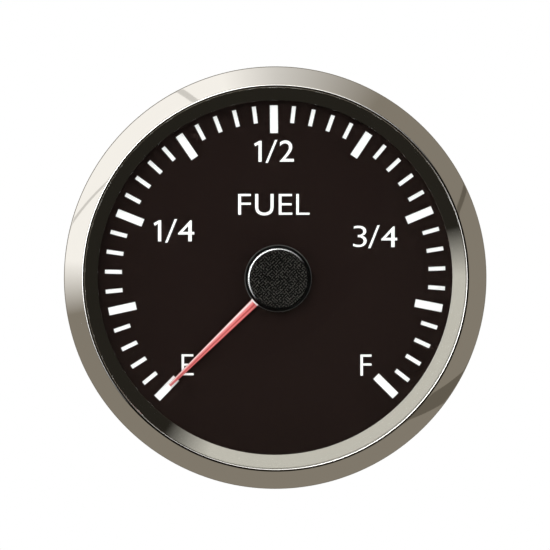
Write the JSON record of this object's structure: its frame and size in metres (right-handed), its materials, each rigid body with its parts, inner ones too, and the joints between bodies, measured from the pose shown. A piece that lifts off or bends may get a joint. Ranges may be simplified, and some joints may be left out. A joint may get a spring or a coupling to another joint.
{
  "type": "panel fuel gauge",
  "caption": "Round panel fuel gauge with a crimped steel bezel, stepper-driven pointer, lamp-lit dial and rear clamp bracket on two studs.",
  "frame": {"origin": "on the barrel's axis, in the plane of the panel's front face, against which the rubber ring seats", "axes": "+Y along the barrel's axis, away from the dial and into the panel; the dial faces -Y; +Z is the top of the dial"},
  "size_m": [0.062, 0.0683, 0.062],
  "materials": {
    "polished_steel": "polished stainless steel",
    "lens_glass": "clear polished",
    "black_rubber": "matte",
    "chrome_plated": "bright plated plastic",
    "dial_black": "matte print",
    "dial_white": "translucent white",
    "pointer_red": "translucent gloss",
    "hub_black": "fine grain",
    "shaft_steel": "ground",
    "gear_plastic": "moulded acetal",
    "magnet": "sintered",
    "motor_plastic": "moulded",
    "core_steel": "laminated",
    "copper_wire": "enamelled copper",
    "white_plastic": "moulded",
    "gold_plated": "plated",
    "board_green": "solder mask",
    "brass": "turned",
    "chip_black": "moulded",
    "lamp": "clear epoxy",
    "can": "drawn",
    "case_black": "moulded, fine grain",
    "socket_black": "moulded",
    "seal_rubber": "matte",
    "strip_steel": "rolled stainless strip",
    "zinc": "zinc plated",
    "spring_steel": "oiled",
    "nut_brass": "knurled"
  },
  "bodies": {
    "gauge": {"bezel": "polished_steel", "lens": "lens_glass", "lens_gasket": "black_rubber", "reflector_ring": "chrome_plated", "dial_mask": "dial_black", "dial_diffuser": "dial_white", "motor_cover": "motor_plastic", "motor_housing": "chip_black", "stator_core": "core_steel", "coil_bobbins": "white_plastic", "coil_windings": "copper_wire", "motor_pins": "gold_plated", "light_chamber": "white_plastic", "leds": "lamp", "front_board": "board_green", "board_screws": "zinc", "board_standoffs": "brass", "link_strips": "chip_black", "link_pins": "gold_plated", "rear_board": "board_green", "microcontroller": "chip_black", "voltage_regulator": "chip_black", "capacitor": "can", "diode": "chip_black", "resistors": "chip_black", "connector_shell": "socket_black", "connector_seal": "seal_rubber", "connector_pins": "gold_plated", "case": "case_black", "panel_gasket": "black_rubber", "mounting_studs": "zinc"},
    "pointer": {"pointer": "pointer_red", "pointer_hub": "hub_black", "output_shaft": "shaft_steel", "output_gear": "gear_plastic"},
    "intermediate": {"intermediate_gear": "gear_plastic"},
    "rotor": {"rotor_pinion": "gear_plastic", "rotor_magnet": "magnet"},
    "clamp": {"bracket": "strip_steel", "flat_washers": "zinc", "spring_washers": "spring_steel"},
    "nut_left": {"nut_left": "nut_brass"},
    "nut_right": {"nut_right": "nut_brass"}
  },
  "joints": [
    {"name": "rotor_spin", "type": "hinge", "parent": "gauge", "child": "rotor", "pos_m": [-0.00552, 0, -0.0139], "axis": [0, 1, 0], "range_deg": [0, 48600]},
    {"name": "intermediate_spin", "type": "hinge", "parent": "gauge", "child": "intermediate", "pos_m": [0.00045, 0, -0.00972], "axis": [0, 1, 0], "range_deg": [-4050, 0]},
    {"name": "pointer_sweep", "type": "hinge", "parent": "gauge", "child": "pointer", "pos_m": [0.00045, 0, -0.00015], "axis": [0, 1, 0], "range_deg": [0, 270]},
    {"name": "bracket_slide", "type": "slide", "parent": "gauge", "child": "clamp", "axis": [0, 1, 0], "range_m": [-0.0022, 0.011]},
    {"name": "nut_left_spin", "type": "hinge", "parent": "clamp", "child": "nut_left", "pos_m": [-0.019, 0.05, 0], "axis": [0, 1, 0], "range_deg": [-1131.43, 5657.15]},
    {"name": "nut_right_spin", "type": "hinge", "parent": "clamp", "child": "nut_right", "pos_m": [0.019, 0.05, 0], "axis": [0, 1, 0], "range_deg": [-1131.43, 5657.15]}
  ],
  "couplings": [
    {"joint": "intermediate_spin", "follows": "rotor_spin", "ratio": -0.083333},
    {"joint": "pointer_sweep", "follows": "rotor_spin", "ratio": 0.0055556},
    {"joint": "nut_left_spin", "follows": "bracket_slide", "rad_per_m": 8976},
    {"joint": "nut_right_spin", "follows": "bracket_slide", "rad_per_m": 8976}
  ]
}
